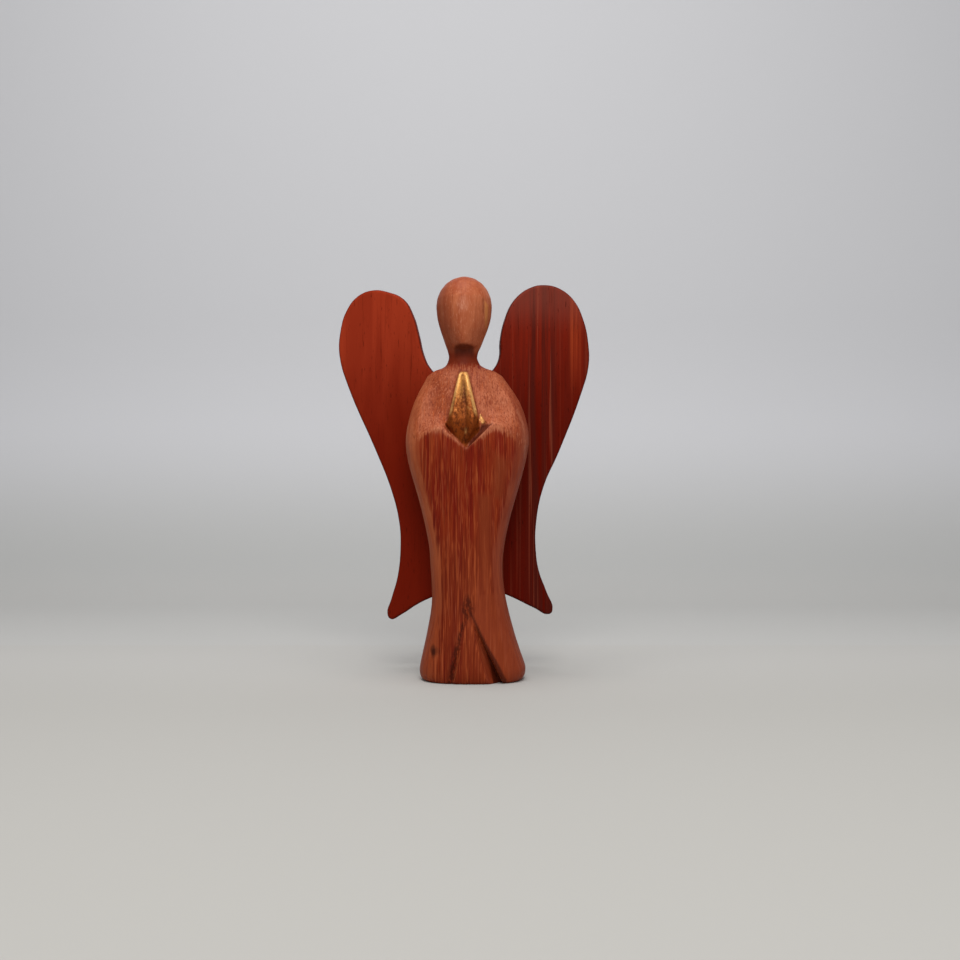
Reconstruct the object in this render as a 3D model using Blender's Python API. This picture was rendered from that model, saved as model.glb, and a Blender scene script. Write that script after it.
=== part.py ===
"""A hand-carved wooden angel with folded hands and two board wings.

The figure is one block of wood, from the soles of its robe to its smooth, faceless head, and its
folded hands are carved on the chest of the same block. Each wing is a flat board that sits in a
shallow seat cut in the back. The angel faces -Y, so its own right wing is at -X.

Lengths are in metres. The figure's carving is given in 200ths of the figure's height, and the
outline of a wing in 169ths of the wing's length.
"""

import math

import bmesh
import bpy
from mathutils import Matrix, Vector

# Driving dimensions
FIGURE_HEIGHT = 0.200
WING_LENGTH = 0.169
WING_THICKNESS = 0.006
WING_EDGE_RADIUS = 0.0009
WING_SWEEP = math.radians(8)
SPINE_GAP = 0.003
SEAT_DEPTH = 0.0030
SEAT_MARGIN = 0.0015
GLUE_GAP = 0.0003

# Units of the carving and of the wing outlines
CARVING = FIGURE_HEIGHT / 200
WING_UNIT = WING_LENGTH / 169

# Sections of the figure from its underside to the widest part of its head:
# height, middle in x, half width, reach to the front, reach to the back, front power, back power.
# A power of 2 is an ellipse, more is squarer and less is more pointed.
SECTIONS = (
    (0.0, 4.0, 23.6, 18.9, 14.4, 2.5, 3.4),
    (1.0, 4.0, 25.2, 20.0, 15.4, 2.5, 3.4),
    (3.0, 4.1, 26.1, 20.5, 15.9, 2.5, 3.4),
    (6.0, 4.2, 26.3, 20.6, 16.0, 2.5, 3.4),
    (13.0, 3.7, 24.4, 20.0, 15.8, 2.5, 3.4),
    (24.0, 3.1, 21.5, 18.6, 15.6, 2.5, 3.4),
    (37.0, 2.5, 18.8, 16.7, 15.5, 2.5, 3.4),
    (47.0, 1.7, 17.9, 15.7, 15.5, 2.7, 3.4),
    (57.0, 1.1, 17.9, 15.2, 15.5, 2.8, 3.4),
    (66.0, 1.2, 18.6, 15.4, 15.6, 2.9, 3.4),
    (78.0, 1.2, 21.0, 16.4, 15.8, 3.0, 3.4),
    (91.0, 1.3, 24.4, 18.6, 16.1, 3.1, 3.4),
    (104.0, 1.3, 28.1, 21.4, 16.4, 3.1, 3.4),
    (113.0, 1.4, 30.1, 23.0, 16.6, 2.9, 3.3),
    (121.0, 1.6, 30.5, 23.8, 16.6, 2.6, 3.2),
    (129.0, 1.6, 29.1, 23.4, 16.3, 2.3, 3.1),
    (138.0, 1.3, 26.0, 20.2, 15.9, 2.2, 3.0),
    (146.0, 0.7, 21.4, 13.4, 15.2, 2.1, 2.8),
    (150.5, 0.3, 18.6, 10.6, 14.3, 2.1, 2.6),
    (153.0, 0.0, 14.9, 9.0, 12.4, 2.0, 2.3),
    (154.4, -0.2, 10.6, 7.9, 10.2, 2.0, 2.1),
    (156.0, -0.5, 8.2, 6.9, 8.1, 2.0, 2.0),
    (159.4, -0.6, 6.9, 6.3, 6.9, 2.0, 2.0),
    (162.4, -0.6, 7.4, 6.5, 7.2, 2.0, 2.0),
    (164.0, -0.5, 8.1, 8.0, 7.7, 1.6, 2.0),
    (165.0, -0.4, 8.5, 12.4, 8.1, 1.4, 2.0),
    (166.2, -0.4, 9.0, 13.6, 8.5, 1.45, 2.0),
    (169.0, -0.3, 10.0, 14.5, 9.6, 1.6, 2.0),
    (173.0, -0.2, 11.5, 15.2, 11.0, 1.8, 2.0),
    (179.0, -0.1, 13.2, 15.6, 12.4, 1.85, 2.0),
    (185.0, -0.1, 13.8, 15.4, 13.0, 1.9, 2.0),
)
AROUND = 48
ROW_STEP = 4.6
CROWN_ROWS = 6
CROWN_LAST = math.radians(82)

# The chest is cut back between the neck and the sleeves, whose upper edge is heart-shaped:
# it falls to a point below the hands, and each lobe falls again towards the elbow.
HEART_FOOT = (1.0, 113.8)
HEART_RIGHT_LOBE = (-10.6, 124.0)
HEART_LEFT_LOBE = (13.0, 126.0)
HEART_FALL = 0.038
CHEST_DEPTH = 5.0
CHEST_CLEAR = 1.2
CHEST_TOP = (134.0, 152.5)
CHEST_SIDES = (0.55, 0.92)
CHEST_RUN_AT_LOBE = 11.0
CHEST_RUN_AT_FOOT = 2.2
CHEST_COLUMN = 2.0
CHEST_ROWS = 4
CHEST_LIMIT = 151.5

# A long facet runs down each front corner of the robe
FACET_TURN = math.radians(35)
FACET_INSET = 5.2
FACET_BACK = 0.9
FACET_SOFTNESS = 0.4
FACET_FADE = (122.0, 140.0)

# The folded hands: for each height, half width, ridge in x, ridge reach, reach between the hands
HAND_LEVELS = (
    (151.9, 1.2, 0.8, 12.6, 12.5),
    (150.2, 2.6, 1.8, 14.8, 14.3),
    (133.0, 6.5, 4.5, 22.8, 21.8),
    (128.4, 7.5, 5.2, 24.2, 23.1),
    (124.0, 6.6, 4.6, 24.3, 23.2),
    (119.5, 3.8, 2.6, 23.2, 22.3),
    (115.6, 1.3, 0.9, 21.4, 21.1),
)
HAND_SIDE_SINK = 2.1
HAND_MIDDLE = -0.4
HAND_ROOT = 8.0
HAND_LAP = 0.15

# The wrists below the hands fill the point of the heart
WRIST_RIGHT = (-9.0, 21.6, 126.4)
WRIST_LEFT = (11.6, 20.8, 126.6)
WRIST_MIDDLE = (-0.2, 22.9, 128.0)
WRIST_KNEE = (0.3, 22.8, 120.6)
WRIST_FOOT = (0.9, 21.2, 115.0)
WRIST_ROOT = 12.0

# The split in the hem: two grooves that open from one point down to the ground.
# Each has its upper end, then at the ground the flap's edge, the deepest line and the far rim.
SPLIT_LEFT = {"top": (0.6, 27.5), "edge": -8.4, "deep": -6.9, "rim": -5.0, "depth": 2.6}
SPLIT_RIGHT = {"top": (3.2, 32.5), "edge": 20.4, "deep": 19.2, "rim": 11.8, "depth": 10.0}
SPLIT_SCORE = 0.2
SPLIT_EDGE_DEPTH = 1.0
SPLIT_PROUD = 8.0
SPLIT_BELOW = -1.5

# Outlines of the wings, as distance out from the spine and height above the lower tip,
# from the top of the root round the outside and back to the foot of the root.
RIGHT_WING = (
    (10.0, 122.3), (17.8, 128.0), (21.7, 135.6), (23.8, 144.4), (27.3, 156.2), (32.2, 164.3),
    (39.7, 167.8), (47.5, 169.0), (55.3, 166.4), (61.5, 159.2), (65.2, 147.0), (65.5, 135.4),
    (60.8, 119.2), (47.1, 88.2), (38.7, 67.6), (34.2, 50.1), (33.5, 36.6), (34.9, 22.4),
    (38.4, 10.0), (40.3, 2.6), (38.4, 0.0), (34.1, 1.9), (24.2, 8.2), (17.0, 11.6),
)
LEFT_WING = (
    (9.4, 120.6), (15.4, 125.8), (18.2, 131.4), (18.6, 139.5), (21.2, 151.4), (26.2, 161.4),
    (33.9, 167.4), (42.0, 169.0), (49.7, 167.2), (56.6, 161.8), (61.8, 151.8), (64.6, 138.8),
    (64.7, 127.6), (61.1, 114.3), (49.0, 83.2), (40.8, 64.8), (37.1, 46.0), (37.0, 33.0),
    (38.5, 22.6), (42.7, 11.2), (45.7, 1.9), (43.9, 0.0), (36.8, 3.0), (23.4, 9.5),
)
ROOT_TOP = 119.0
ROOT_FOOT = 18.0
ROOT_BELOW_SHOULDER = 0.0075
LEFT_WING_RAISED = 0.0025
WING_FOOT_SLOPE = math.radians(23)
OUTLINE_STEPS = 4
RIM_STEPS = 1
WELD = 0.00001
SHARP_RIM = math.radians(60)

# Heights on the figure that other pieces line up with
SHOULDER = 154.0
SEAT_LEVEL = 112.0
HEM_WIDEST = 6.0
HEAD_WIDEST = SECTIONS[-1][0]
CROWN = 200.0

# Materials: colour, roughness and metallic value
BODY_WOOD = ((0.36, 0.10, 0.045), 0.5, 0.0)
WING_WOOD = ((0.22, 0.03, 0.018), 0.42, 0.0)
GILDING = ((0.72, 0.42, 0.12), 0.38, 0.85)


def clear_scene():
    """Removes what the scene starts with."""
    for thing in list(bpy.data.objects):
        bpy.data.objects.remove(thing, do_unlink=True)


def new_collection(name):
    collection = bpy.data.collections.new(name)
    bpy.context.scene.collection.children.link(collection)
    return collection


def new_material(name, finish):
    colour, roughness, metallic = finish
    material = bpy.data.materials.new(name)
    material.use_nodes = True
    shader = material.node_tree.nodes["Principled BSDF"]
    shader.inputs["Base Color"].default_value = (*colour, 1.0)
    shader.inputs["Roughness"].default_value = roughness
    shader.inputs["Metallic"].default_value = metallic
    material.diffuse_color = (*colour, 1.0)
    return material


def smooth_step(low, high, value):
    """0 below low, 1 above high and an even curve between them."""
    share = min(1.0, max(0.0, (value - low) / (high - low)))
    return share * share * (3 - 2 * share)


def soft_min(first, second, softness):
    """The lesser of two values, rounded over where they meet."""
    blend = max(softness - abs(first - second), 0.0) / softness
    return min(first, second) - blend * blend * softness / 4


def section_at(height):
    """The section's values at a height, on a smooth curve through the table."""
    last = len(SECTIONS) - 1
    index = max(i for i in range(last) if SECTIONS[i][0] <= height)
    below, above = SECTIONS[index], SECTIONS[index + 1]
    before, after = SECTIONS[max(index - 1, 0)], SECTIONS[min(index + 2, last)]
    span = above[0] - below[0]
    t = (height - below[0]) / span
    values = []
    for column in range(1, len(below)):
        slope_below = (above[column] - before[column]) / (above[0] - before[0])
        slope_above = (after[column] - below[column]) / (after[0] - below[0])
        values.append(
            (2 * t**3 - 3 * t**2 + 1) * below[column]
            + (t**3 - 2 * t**2 + t) * span * slope_below
            + (3 * t**2 - 2 * t**3) * above[column]
            + (t**3 - t**2) * span * slope_above
        )
    return values


def oval_radius(angle, half_width, reach, power):
    across = abs(math.cos(angle)) / half_width
    along = abs(math.sin(angle)) / reach
    return (across**power + along**power) ** (-1 / power)


def facet_radius(angle, half_width, front, height):
    """The flat that is cut down the robe's front corner, on either side."""
    side = 1 if math.cos(angle) >= 0 else -1
    turned = -FACET_TURN if side > 0 else FACET_TURN - math.pi
    away = math.cos(angle - turned)
    if away <= 0:
        return math.inf
    reach = (half_width - FACET_INSET) * math.cos(FACET_TURN)
    reach += (front - FACET_BACK) * math.sin(FACET_TURN)
    return (reach + half_width * smooth_step(*FACET_FADE, height)) / away


def figure_ring(height):
    """One horizontal section of the figure, as points in 200ths of its height."""
    middle, half_width, front, back, front_power, back_power = section_at(height)
    ring = []
    for step in range(AROUND):
        angle = -math.pi / 2 + 2 * math.pi * step / AROUND
        if math.sin(angle) > 0:
            radius = oval_radius(angle, half_width, back, back_power)
        else:
            oval = oval_radius(angle, half_width, front, front_power)
            facet = facet_radius(angle, half_width, front, height)
            radius = soft_min(oval, facet, FACET_SOFTNESS)
        ring.append((middle + radius * math.cos(angle), radius * math.sin(angle), height))
    return ring


def crown_ring(turn):
    """A section of the head above its widest part, where it closes like an ellipsoid."""
    middle = SECTIONS[-1][1]
    height = HEAD_WIDEST + (CROWN - HEAD_WIDEST) * math.sin(turn)
    return [
        (middle + (x - middle) * math.cos(turn), y * math.cos(turn), height)
        for x, y, _ in figure_ring(HEAD_WIDEST)
    ]


def figure_rings():
    rings = []
    for below, above in zip(SECTIONS, SECTIONS[1:]):
        steps = math.ceil((above[0] - below[0]) / ROW_STEP)
        for step in range(steps):
            rings.append(figure_ring(below[0] + (above[0] - below[0]) * step / steps))
    for row in range(CROWN_ROWS):
        rings.append(crown_ring(CROWN_LAST * row / (CROWN_ROWS - 1)))
    return rings


def mesh_object(name, mesh, collection, materials):
    """Puts a finished bmesh in an object of its own."""
    bmesh.ops.recalc_face_normals(mesh, faces=mesh.faces)
    data = bpy.data.meshes.new(name)
    mesh.to_mesh(data)
    mesh.free()
    for material in materials:
        data.materials.append(material)
    thing = bpy.data.objects.new(name, data)
    collection.objects.link(thing)
    return thing


def tool_object(name, mesh, collection, materials=()):
    """A solid that only cuts or fills another one."""
    tool = mesh_object(name, mesh, collection, materials)
    tool.hide_render = True
    tool.display_type = "WIRE"
    return tool


def make_figure(collection, materials):
    """The block from hem to crown, lofted from its sections, before the details are cut."""
    mesh = bmesh.new()
    rows = [
        [mesh.verts.new(Vector(point) * CARVING) for point in ring] for ring in figure_rings()
    ]
    for low, high in zip(rows, rows[1:]):
        for step in range(AROUND):
            after = (step + 1) % AROUND
            mesh.faces.new((low[step], low[after], high[after], high[step]))
    mesh.faces.new(reversed(rows[0]))
    top = mesh.verts.new(Vector((SECTIONS[-1][1], 0, CROWN)) * CARVING)
    for step in range(AROUND):
        mesh.faces.new((rows[-1][step], rows[-1][(step + 1) % AROUND], top))
    figure = mesh_object("body", mesh, collection, materials)
    figure.data.shade_smooth()
    return figure


def hull_object(name, points, collection, materials=()):
    """The convex block through these points, which are in 200ths of the figure's height."""
    mesh = bmesh.new()
    for point in points:
        mesh.verts.new(Vector(point) * CARVING)
    result = bmesh.ops.convex_hull(mesh, input=mesh.verts)
    loose = [v for v in result["geom_interior"] if isinstance(v, bmesh.types.BMVert)]
    bmesh.ops.delete(mesh, geom=loose, context="VERTS")
    return tool_object(name, mesh, collection, materials)


def hand_points(side):
    """One hand: a blade with its ridge down the middle and its little finger's side outwards."""
    points = []
    for height, half_width, ridge_x, ridge, between in HAND_LEVELS:
        points += [
            (-side * HAND_LAP, -between, height),
            (side * ridge_x, -ridge, height),
            (side * half_width, -(ridge - HAND_SIDE_SINK), height),
            (side * half_width, -HAND_ROOT, height),
            (-side * HAND_LAP, -HAND_ROOT, height),
        ]
    return [(x + HAND_MIDDLE, y, height) for x, y, height in points]


def wrist_points():
    front = [(x, -reach, height) for x, reach, height in (WRIST_RIGHT, WRIST_MIDDLE, WRIST_LEFT)]
    front += [(x, -reach, height) for x, reach, height in (WRIST_KNEE, WRIST_FOOT)]
    root = [(x, -WRIST_ROOT, height) for x, _, height in (WRIST_RIGHT, WRIST_LEFT, WRIST_FOOT)]
    return front + root


def heart_edge(x):
    """Height of the sleeves' upper edge, and how sharply the chest is cut in above it."""
    lobe_x, lobe_height = HEART_RIGHT_LOBE if x < HEART_FOOT[0] else HEART_LEFT_LOBE
    share = (x - HEART_FOOT[0]) / (lobe_x - HEART_FOOT[0])
    if share < 1:
        height = HEART_FOOT[1] + (lobe_height - HEART_FOOT[1]) * share
    else:
        height = lobe_height - HEART_FALL * (x - lobe_x) ** 2
    ease = smooth_step(0.5, 1.3, share)
    return height, CHEST_RUN_AT_FOOT + (CHEST_RUN_AT_LOBE - CHEST_RUN_AT_FOOT) * ease


def front_surface(x, height):
    """Where the uncut block's front lies, and how far out to its side the place is."""
    middle, half_width = section_at(height)[:2]
    quarter = figure_ring(height)[: AROUND // 4 + 1]
    out = abs(x - middle)
    share = min(out / half_width, 1.0)
    for (x0, y0, _), (x1, y1, _) in zip(quarter, quarter[1:]):
        if x1 - middle >= out:
            return y0 + (y1 - y0) * (out - x0 + middle) / (x1 - x0), share
    return 0.0, share


def chest_place(x, height, edge, run):
    """A point of the carved chest. It leaves the block where the depth falls below nothing."""
    surface, share = front_surface(x, height)
    kept = 1 - smooth_step(*CHEST_SIDES, share)
    upper = 1 - smooth_step(*CHEST_TOP, height)
    depth = (CHEST_DEPTH + CHEST_CLEAR) * kept * upper - CHEST_CLEAR
    if height < edge:
        depth = -abs(depth) - CHEST_CLEAR
    elif depth > 0:
        depth *= 1 - max(0.0, 1 - (height - edge) / run) ** 2
    return x, surface + depth, height


def chest_columns():
    """The carved chest's surface in upright lines, from below the sleeves' edge to the neck."""
    reach = max(section[2] for section in SECTIONS) + 2 * CHEST_COLUMN
    columns = []
    for step in range(math.ceil(2 * reach / CHEST_COLUMN) + 1):
        x = -reach + step * CHEST_COLUMN
        edge, run = heart_edge(x)
        heights = [edge - run, edge, edge + run / 3, edge + 2 * run / 3, edge + run]
        heights += [
            edge + run + (CHEST_LIMIT - edge - run) * row / CHEST_ROWS
            for row in range(1, CHEST_ROWS + 1)
        ]
        columns.append([chest_place(x, height, edge, run) for height in heights])
    return columns


def chest_cutter(collection):
    """What the carver takes off between the neck, the shoulders and the sleeves."""
    mesh = bmesh.new()
    ahead = -2 * max(section[3] for section in SECTIONS)
    rows = []
    for column in chest_columns():
        outline = column + [(column[-1][0], ahead, column[-1][2]), (column[0][0], ahead, column[0][2])]
        rows.append([mesh.verts.new(Vector(point) * CARVING) for point in outline])
    for left, right in zip(rows, rows[1:]):
        for step in range(len(left)):
            after = (step + 1) % len(left)
            mesh.faces.new((left[step], left[after], right[after], right[step]))
    mesh.faces.new(rows[0])
    mesh.faces.new(reversed(rows[-1]))
    bmesh.ops.triangulate(mesh, faces=mesh.faces)
    return tool_object("chest_cutter", mesh, collection)


def split_points(split):
    """A groove that starts as a point in the robe's front and is widest at the ground."""
    top_x, top_height = split["top"]
    _, _, front, _, _, _ = section_at(top_height)
    _, _, hem, _, _, _ = section_at(HEM_WIDEST)
    return [
        (top_x, -front + SPLIT_SCORE, top_height),
        (top_x, -front - SPLIT_PROUD, top_height),
        (split["edge"], -hem - SPLIT_PROUD, SPLIT_BELOW),
        (split["edge"], -hem + SPLIT_EDGE_DEPTH, SPLIT_BELOW),
        (split["deep"], -hem + split["depth"], SPLIT_BELOW),
        (split["rim"], -hem - SPLIT_SCORE, SPLIT_BELOW),
        (split["rim"], -hem - SPLIT_PROUD, SPLIT_BELOW),
    ]


def seat_line():
    """Where the seat's plane crosses the spine, as a distance behind the figure's middle."""
    _, _, _, back, _, _ = section_at(SEAT_LEVEL)
    return back * CARVING - SEAT_DEPTH


def root_top_height():
    return SHOULDER * CARVING - ROOT_BELOW_SHOULDER


def seat_cutter(side, collection):
    """A block whose front is one wing's seat and whose underside slopes with the wing's foot."""
    reach = FIGURE_HEIGHT
    mesh = bmesh.new()
    bmesh.ops.create_cube(mesh, size=1)
    bmesh.ops.transform(mesh, matrix=Matrix.Diagonal((reach, reach, reach, 1)), verts=mesh.verts)
    bmesh.ops.translate(mesh, vec=(reach / 2, reach / 2, reach / 2), verts=mesh.verts)
    foot = root_top_height() - (ROOT_TOP - ROOT_FOOT) * WING_UNIT - SEAT_MARGIN
    for vertex in mesh.verts:
        low = vertex.co.z < reach / 2
        vertex.co.x = vertex.co.x - SPINE_GAP if vertex.co.x < reach / 2 else vertex.co.x
        vertex.co.z += foot
        if low:
            vertex.co.z -= math.tan(WING_FOOT_SLOPE) * vertex.co.x
    if side < 0:
        bmesh.ops.scale(mesh, vec=(-1, 1, 1), verts=mesh.verts)
        bmesh.ops.reverse_faces(mesh, faces=mesh.faces)
    name = "left_seat_cutter" if side > 0 else "right_seat_cutter"
    cutter = tool_object(name, mesh, collection)
    cutter.location = (0, seat_line(), 0)
    cutter.rotation_euler = (0, 0, side * WING_SWEEP)
    return cutter


def boolean(thing, tool, operation):
    modifier = thing.modifiers.new(f"{operation.lower()}_{tool.name}", "BOOLEAN")
    modifier.operation = operation
    modifier.object = tool
    modifier.material_mode = "TRANSFER"
    return modifier


def carve_figure(figure, tools, gilding):
    """Cuts the chest, the hem's split and the wing seats, and joins the wrists and the hands."""
    boolean(figure, chest_cutter(tools), "DIFFERENCE")
    boolean(figure, hull_object("wrists", wrist_points(), tools, [gilding]), "UNION")
    for side, name in ((-1, "right_hand"), (1, "left_hand")):
        boolean(figure, hull_object(name, hand_points(side), tools, [gilding]), "UNION")
    for name, split in (("split_left", SPLIT_LEFT), ("split_right", SPLIT_RIGHT)):
        boolean(figure, hull_object(name, split_points(split), tools), "DIFFERENCE")
    for side in (-1, 1):
        boolean(figure, seat_cutter(side, tools), "DIFFERENCE")


def wing_outline(knots):
    """The knots with the root's two square corners, as distances in metres."""
    root = SPINE_GAP / 2
    corners = [(root, ROOT_FOOT * WING_UNIT), (root, ROOT_TOP * WING_UNIT)]
    return [(x * WING_UNIT, y * WING_UNIT) for x, y in knots], corners


def make_wing(name, knots, side, foot_height, collection, material):
    """A flat board of one outline, rounded at its rim, leaning back from the spine."""
    curve = bpy.data.curves.new(name, "CURVE")
    curve.dimensions = "2D"
    curve.fill_mode = "BOTH"
    curve.bevel_depth = WING_EDGE_RADIUS
    curve.bevel_resolution = RIM_STEPS
    curve.extrude = WING_THICKNESS / 2 - WING_EDGE_RADIUS
    curve.offset = -WING_EDGE_RADIUS
    curve.resolution_u = OUTLINE_STEPS
    smooth, corners = wing_outline(knots)
    spline = curve.splines.new("BEZIER")
    spline.use_cyclic_u = True
    spline.bezier_points.add(len(smooth) + len(corners) - 1)
    for index, (out, up) in enumerate(smooth + corners):
        point = spline.bezier_points[index]
        point.co = (side * out, up, 0)
        handle = "AUTO" if index < len(smooth) else "VECTOR"
        point.handle_left_type = point.handle_right_type = handle
    curve.materials.append(material)
    outline = bpy.data.objects.new(name + "_outline", curve)
    collection.objects.link(outline)
    bpy.context.view_layer.update()
    graph = bpy.context.evaluated_depsgraph_get()
    board = bpy.data.meshes.new_from_object(outline.evaluated_get(graph))
    bpy.data.objects.remove(outline, do_unlink=True)

    mesh = bmesh.new()
    mesh.from_mesh(board)
    bmesh.ops.remove_doubles(mesh, verts=mesh.verts, dist=WELD)
    bmesh.ops.recalc_face_normals(mesh, faces=mesh.faces)
    mesh.to_mesh(board)
    mesh.free()
    board.name = name
    board.shade_smooth()
    board.set_sharp_from_angle(angle=SHARP_RIM)
    wing = bpy.data.objects.new(name, board)
    collection.objects.link(wing)
    middle = WING_THICKNESS / 2 + GLUE_GAP
    away = Matrix.Rotation(side * WING_SWEEP, 3, "Z") @ Vector((0, middle, 0))
    wing.location = Vector((0, seat_line(), foot_height)) + away
    wing.rotation_euler = (math.pi / 2, 0, side * WING_SWEEP)
    return wing


def stand_on_origin(parts, root):
    """Moves the whole angel so that the middle of its footprint box is the origin."""
    bpy.context.view_layer.update()
    graph = bpy.context.evaluated_depsgraph_get()
    corners = []
    for part in parts:
        shown = part.evaluated_get(graph)
        corners += [shown.matrix_world @ vertex.co for vertex in shown.data.vertices]
    for axis in (0, 1):
        values = [corner[axis] for corner in corners]
        root.location[axis] = -(min(values) + max(values)) / 2


def build_angel():
    clear_scene()
    angel = new_collection("wooden_angel")
    tools = new_collection("carving_tools")
    body_wood = new_material("body_wood", BODY_WOOD)
    wing_wood = new_material("wing_wood", WING_WOOD)
    gilding = new_material("gilding", GILDING)

    figure = make_figure(angel, [body_wood, gilding])
    carve_figure(figure, tools, gilding)
    tip = root_top_height() - ROOT_TOP * WING_UNIT
    right = make_wing("right_wing", RIGHT_WING, -1, tip, angel, wing_wood)
    left = make_wing("left_wing", LEFT_WING, 1, tip + LEFT_WING_RAISED, angel, wing_wood)

    root = bpy.data.objects.new("angel", None)
    angel.objects.link(root)
    parts = [figure, right, left]
    for thing in parts + list(tools.objects):
        thing.parent = root
    stand_on_origin(parts, root)


build_angel()
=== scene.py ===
"""The looks of a hand-carved wooden angel: its fine surface, its woods and gilding, the light and
the camera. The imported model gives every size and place. Lengths are in metres."""

import math
from types import SimpleNamespace

import bmesh
import bpy
import numpy as np
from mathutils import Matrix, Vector, noise
from mathutils.kdtree import KDTree


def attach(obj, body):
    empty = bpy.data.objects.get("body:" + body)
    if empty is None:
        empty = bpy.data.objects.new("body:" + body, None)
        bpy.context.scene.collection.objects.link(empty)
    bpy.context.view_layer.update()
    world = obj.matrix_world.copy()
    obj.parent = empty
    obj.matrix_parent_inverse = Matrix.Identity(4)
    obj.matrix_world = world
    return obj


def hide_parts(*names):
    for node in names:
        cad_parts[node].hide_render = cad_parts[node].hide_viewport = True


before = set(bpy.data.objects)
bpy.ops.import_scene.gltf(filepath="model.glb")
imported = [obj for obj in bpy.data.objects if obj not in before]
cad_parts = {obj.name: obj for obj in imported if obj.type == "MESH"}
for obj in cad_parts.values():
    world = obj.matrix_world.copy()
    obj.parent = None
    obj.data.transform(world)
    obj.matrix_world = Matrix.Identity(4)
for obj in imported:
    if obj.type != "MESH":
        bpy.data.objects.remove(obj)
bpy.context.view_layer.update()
MM = 0.001

# The photograph's camera, in front of the figure at half its height. Lens and sensor are in millimetres
FOCAL_LENGTH = 50
SENSOR_WIDTH = 36
CAMERA_DISTANCE = 0.6638
CAMERA_SIDE = 0.0082
CAMERA_HEIGHT = 0.0989

# The backdrop: its reach to the sides and the front, its wall and the curve up to it
SWEEP_REACH = 2.5
SWEEP_BACK = 0.63
SWEEP_TURN = 0.25
SWEEP_TALL = 1.6
SWEEP_STEPS = 12

# Where the paper that the figure stands on ends behind it, and the point that the lights face
FLOOR_EDGE = 0.13
LIT_POINT = (0, 0, 0.12)

# How far the figure's own middle lies from the frame's origin, which the carving is measured from
SIDE_SHIFT = 0.0004
FRONT_SHIFT = -0.0023

# The fine meshes
BODY_VOXEL = 0.62 * MM
WING_VOXEL = 0.52 * MM
CREASE_ANGLE = math.radians(24)
CREASE_REACH = 3 * MM
CREASE_SPAN = 6 * MM
BODY_PASSES = 66
WING_PASSES = 10

# How deep the tool marks and cuts go, or how high the thumb stands
SCOOP_DEPTH = 0.08 * MM
SWELL_DEPTH = 0.14 * MM
RIPPLE_DEPTH = 0.02 * MM
LUMP_DEPTH = 0.10 * MM
THUMB_LIFT = 0.5 * MM
RECESS_DEPTH = 0.5 * MM
GROOVE_DEPTH = 0.55 * MM
KNOT_DEPTH = 0.3 * MM
BOARD_SWELL = 0.07 * MM
BOARD_RIPPLE = 0.03 * MM

# Fibres are this much coarser along the view than across it
FIBRE_DEPTH = 0.16

# The shader's specular level on the figure and on the wings
WAXED_GLOSS = 0.10
BOARD_GLOSS = 0.02

# The sleeves' heart-shaped edge, as x and height: its foot and its two lobes, and how it falls off
HEART_FOOT = (1.0 * MM, 113.8 * MM)
HEART_RIGHT = (-10.6 * MM, 124.0 * MM)
HEART_LEFT = (13.0 * MM, 126.0 * MM)
HEART_FALL = 38.0

# How far that edge is worn down on the angel's left and right
WORN_LEFT = 2.6 * MM
WORN_RIGHT = 0.9 * MM

# Places and outlines in the front view, as x from the figure's middle and height in millimetres
GILDED = (
    (-1.8, 151.9), (1.4, 151.9), (2.3, 150.0), (7.2, 128.2), (8.0, 127.0), (7.4, 122.4),
    (3.4, 118.4), (1.0, 114.6), (-8.6, 124.2), (-9.3, 126.6), (-7.7, 128.2), (-2.9, 150.0),
)
RIGHT_HAND_EDGE = ((-1.8, 151.9), (-2.9, 150.0), (-7.7, 128.2))
LEFT_HAND_EDGE = ((1.4, 151.9), (2.3, 150.0), (7.2, 128.2))
KITE = LEFT_HAND_EDGE + RIGHT_HAND_EDGE[::-1]
THUMB = ((7.8, 131.2), (8.9, 129.3), (11.4, 126.6), (8.8, 125.8), (7.4, 128.0))
RECESS = ((8.8, 125.4), (14.0, 126.4), (1.6, 114.2), (2.8, 117.4), (7.0, 121.6))
GLINT = (0.9, 122.6)
HAND_GROOVE = ((-0.6, 150.6), (0.8, 132.0), (1.2, 117.0))
# Painted highlights down each elbow's edge
ELBOW_HIGHLIGHTS = (
    ((25.8, 133.0), (28.4, 127.0), (29.8, 119.0), (29.6, 110.0)),
    ((-28.0, 126.0), (-29.4, 114.0)),
)
# Where a painted highlight sits on the forehead
HEAD_HIGHLIGHT_MIDDLE = (-0.6, 184.6)
HEAD_DARK = ((8.8, 188.0), (9.8, 187.5), (9.7, 180.5), (9.0, 181.0))
HEAD_PALE = ((10.0, 187.0), (11.8, 185.0), (11.6, 176.0), (10.6, 172.0), (10.1, 178.0))

# The split hem: a dark gap with painted shade and dirt beside the left flap, a rough scored line
# beside the right one, and the torn patch above them
OPENING = (
    (2.6, 35.2), (3.8, 34.4), (11.5, 18.6), (16.0, 11.2), (20.6, 2.0), (20.9, -2.0), (14.6, -2.0),
    (13.8, 3.0), (12.0, 12.0), (9.8, 18.2),
)
SCORED = ((1.6, 33.0), (-1.0, 27.0), (-2.7, 20.1), (-4.3, 14.3), (-5.4, 8.5), (-6.6, 0.0))
ROUGH_PATCH = (1.8, 36.4)

# A small knot on the right flap, the smudge beside it, and the robe's smooth facets
KNOT = (-15.1, 15.4)
SMUDGE = (-13.2, 15.6)
PLAIN_FACETS = (
    ((4.0, 33.0), (8.0, 44.0), (22.0, 44.0), (31.0, -2.0), (20.6, -2.0)),
    ((6.4, 92.0), (14.0, 92.0), (12.6, 44.0), (8.0, 44.0)),
    ((14.6, 112.0), (21.4, 108.0), (19.4, 90.0), (14.2, 90.0)),
)

# What lies behind these depths is neither gilded nor under the painted shade below the chin
GILDED_BEHIND = -8 * MM
CHIN_SHADE_BEHIND = -3 * MM

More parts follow.
